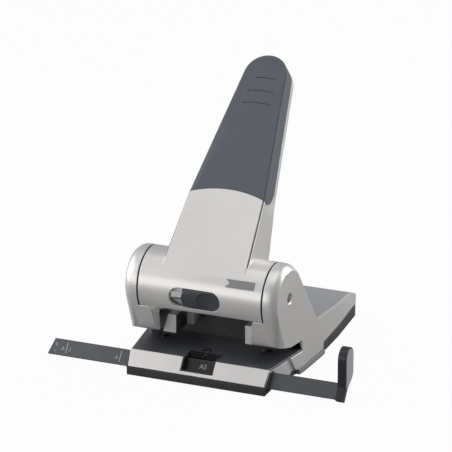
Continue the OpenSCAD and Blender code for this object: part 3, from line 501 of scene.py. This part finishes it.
def finished_node(node, width):
    """Stands a cleaned copy for a node, with its sharp edges broken by a width, or left where that is 0."""
    bm = node_copy(node, *CLEANING.get(node, PLAIN_CLEANING))
    if node == "lever_body":
        level_core(bm)
    if node in ROUND_OVER:
        round_over(bm, *ROUND_OVER[node])
    if width:
        break_edges(bm, width)
    obj = put(bm, node + "_piece", node, BROKEN_CORNER if width else UNBROKEN_CORNER)
    normals = obj.modifiers.new("normals", "WEIGHTED_NORMAL")
    normals.mode = "FACE_AREA"
    normals.keep_sharp = True


EDGES = {   # width of the broken edges in millimetres
    "housing": 0.3, "table_plate": 0.3, "throat_plate": 0.2, "base_skirt": 0.3,
    "side_foot_left": 0.2, "side_foot_right": 0.2, "punch_guide_left": 0.35, "punch_guide_right": 0.35,
    "index_window": 0.15, "rail_channel": 0.25, "lock_catch": 0.2, "chip_tray": 0.3,
    "lever_body": 0.3, "grip": 0, "lever_back_cover": 0.4, "name_plate": 0.08,
    "lock_slider": 0.25, "guide_rail": 0.2, "rail_stop": 0.3, "stop_face": 0.3, "deck_cover": 0.3,
}
SPRINGS = ("spring_left", "spring_right")
PUNCH_STROKE = 9.6


def return_spring(node):
    """A copy of a return spring's coil under a punch head; the share of its length that the punch's stroke leaves is
    worked out but not used.
    """
    heights = [v.co.z for v in frame["nodes"][node].data.vertices]
    spring = put(node_copy(node, 0.005, None), node + "_piece", node, BROKEN_CORNER)
    keep = 1 - mm(PUNCH_STROKE) / (max(heights) - min(heights))
    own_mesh(spring)


for node in frame["nodes"]:
    if node in EDGES:
        finished_node(node, EDGES[node])
    elif node in SPRINGS:
        return_spring(node)
    else:
        plain = frame["nodes"][node]
        plain.data.materials.clear()
        plain.data.materials.append(finish_of(slot_of[node]))


GRIP_END = [   # places behind the pivot and up the arm
    (-21.0, 61.15), (-18.5, 61.6), (-16.0, 62.5), (-13.5, 63.8), (-11.5, 65.3),
    (-10.0, 66.9), (-9.2, 68.4), (-9.2, 69.2), (-21.0, 69.2),
]
GRIP_SIDE = 30.03      # half the grip's width where the core ends
GRIP_TAPER = 0.157
CORNER_DEPTH = 1.2


def grip_corner(name, side):
    """Rounds the lower end of the grip on one side of the arm."""
    bm = bmesh.new()
    rings = []
    for depth in (0, CORNER_DEPTH):
        ring = []
        for behind, up in GRIP_END:
            across = GRIP_SIDE - GRIP_TAPER * (up - CORE_END) - depth
            ring.append(bm.verts.new(arm_point(side * across, behind, up)))
        rings.append(ring)
    bm.faces.new(rings[0])
    bm.faces.new(rings[1])
    for i in range(len(GRIP_END)):
        j = (i + 1) % len(GRIP_END)
        bm.faces.new((rings[0][i], rings[0][j], rings[1][j], rings[1][i]))
    bmesh.ops.recalc_face_normals(bm, faces=bm.faces)
    mesh = bpy.data.meshes.new(name)
    bm.to_mesh(mesh)
    bm.free()
    dress(mesh, name, "grip_plastic", "lever")


grip_corner("grip_corner_left", -1)
grip_corner("grip_corner_right", 1)


# ---- Marks ----

LIP_TILT = math.atan2(7.7, 10.5)    # how far the lip runs forward for what it falls
LIP_TOP = (0, -34.4, 17.5)
RAIL_BELOW_LIP = 4.5                # depth of the rail's face under the lip's
RAIL_DOWN_LIP = 6.11                # its middle, down the slope
TABLE_HEIGHT = 17.5
STOP_Y = 12                         # face of the plate that stops the paper
UP_SLOPE = Vector((0, math.sin(LIP_TILT), math.cos(LIP_TILT)))
OUT_OF_SLOPE = Vector((0, -math.cos(LIP_TILT), math.sin(LIP_TILT)))


def plane(right, up, out, origin):
    """Matrix from a drawing to a surface: its own x, y and z along three directions."""
    matrix = Matrix((right, up, out)).transposed().to_4x4()
    matrix.translation = origin
    return matrix


ACROSS = Vector((1, 0, 0))
RAIL_MIDDLE = mm(*LIP_TOP) - OUT_OF_SLOPE * mm(RAIL_BELOW_LIP) - UP_SLOPE * mm(RAIL_DOWN_LIP)
RAIL_FACE = plane(ACROSS, UP_SLOPE, OUT_OF_SLOPE, RAIL_MIDDLE)
TABLE_TOP = plane(ACROSS, Vector((0, 1, 0)), Vector((0, 0, 1)), mm(0, 0, TABLE_HEIGHT))
THROAT_FACE = plane(ACROSS, Vector((0, 0, 1)), Vector((0, -1, 0)), mm(0, STOP_Y, 0))
PRINT = 0.06                        # thickness of a printed mark


def figures(name, text, size, x, y):
    """A size mark printed on the rail, with its middle at x and y of the rail's face."""
    data = bpy.data.curves.new(name, "FONT")
    data.body, data.size, data.extrude = text, mm(size), mm(PRINT)
    data.align_x, data.align_y = "CENTER", "CENTER"
    data.resolution_u = 3
    draft = link(bpy.data.objects.new(name + "_draft", data))
    mesh = bpy.data.meshes.new_from_object(draft.evaluated_get(bpy.context.evaluated_depsgraph_get()))
    bpy.data.objects.remove(draft)
    mesh.transform(RAIL_FACE @ Matrix.Translation(mm(x, y, PRINT)))
    mesh.materials.clear()
    dress(mesh, name, "stop_insert", "rail")


def raised(name, corners, surface, height, rim, slot, body):
    """An outline raised over a surface, whole or as a rim of a given width."""
    bm = bmesh.new()
    face = bm.faces.new([bm.verts.new(mm(x, y, 0)) for x, y in corners])
    if rim:
        bmesh.ops.inset_region(bm, faces=[face], thickness=mm(rim), use_boundary=True, use_even_offset=True)
        bmesh.ops.delete(bm, geom=[face], context="FACES_ONLY")
    top = bmesh.ops.extrude_face_region(bm, geom=list(bm.faces), use_keep_orig=True)
    bmesh.ops.translate(bm, verts=[v for v in top["geom"] if isinstance(v, bmesh.types.BMVert)],
                        vec=(0, 0, mm(height)))
    bm.transform(surface)
    bmesh.ops.recalc_face_normals(bm, faces=bm.faces)
    mesh = bpy.data.meshes.new(name)
    bm.to_mesh(mesh)
    bm.free()
    dress(mesh, name, slot, body)


RAIL_MARKS = [   # name, text, its size, and its place across and up the rail's face
    ("rail_line_a3", "|", 9, -104.6, 0.6),
    ("rail_letter_a3", "A", 4.2, -107.4, -1.2),
    ("rail_figure_a3", "3", 4.2, -102.0, -1.2),
    ("rail_line_a4", "|", 9, -62.0, 0.6),
    ("rail_letter_a4", "A", 4.2, -64.8, -1.2),
    ("rail_figures_888", "8", 3.6, -113.2, 1.6),
    ("rail_dash", "-", 6, -113.6, -2.9),
]
SHADE_SHEET = [(-11.6, -4.2), (-11.6, 6.2), (12.6, 6.2), (12.6, -4.2)]
POINTER = [(-5.6, -19.6), (-0.9, -13.9), (3.8, -19.6), (1.9, -19.6), (-0.9, -16.1), (-3.7, -19.6)]
ARROW = [(0.2, 20.4), (5.2, 23.8), (4.4, 25.2), (10.2, 26.2), (7.8, 21.0), (6.8, 22.2), (1.4, 18.6)]

for mark in RAIL_MARKS:
    figures(*mark)
# A black sheet on the rail's face behind the window, painted shade for the window's shaded recess; the A5 print sits
# on it.
raised("window_shade_sheet", SHADE_SHEET, RAIL_FACE, 0.05, 0, "window_plastic", "rail")
figures("window_mark", "A5", 5.0, 2.4, 1.8)
raised("table_pointer", POINTER, TABLE_TOP, 0.35, 0, "window_plastic", "base")
raised("throat_arrow", ARROW, THROAT_FACE, 0.25, 0.4, "catch_steel", "base")


# ---- Floor and background ----

FLOOR_SIZE = 6.0
FLOOR_BELOW = 0.0002   # keeps the floor clear of the feet
FLOOR_GLOW = 0.97      # share of plain white that the camera sees


def make_stage():
    """A pale floor that looks white to the camera and grey to the object, and a cool, even sky."""
    bm = bmesh.new()
    bmesh.ops.create_grid(bm, x_segments=1, y_segments=1, size=FLOOR_SIZE)
    mesh = bpy.data.meshes.new("floor")
    bm.to_mesh(mesh)
    bm.free()
    floor = link(bpy.data.objects.new("floor", mesh))
    floor.location.z = -FLOOR_BELOW
    g = Graph("floor_paper", Base_Color=rgb(0.28, 0.28, 0.28), Roughness=0.9)
    seen = g.add("LightPath", out="Is Camera Ray")
    glow = g.add("Emission", None, rgb(1, 1, 1), 1.0)
    out = g.tree.nodes["Material Output"]
    mixed = g.add("MixShader", None, seen * FLOOR_GLOW, Sock(g, g.shader.outputs[0]), glow)
    g.tree.links.new(mixed.socket, out.inputs["Surface"])
    mesh.materials.append(g.material)
    world = bpy.data.worlds.new("studio")
    bpy.context.scene.world = world
    world.use_nodes = True
    background = world.node_tree.nodes["Background"]
    background.inputs["Color"].default_value = rgb(0.93, 0.95, 1.0)
    background.inputs["Strength"].default_value = 0.4


make_stage()
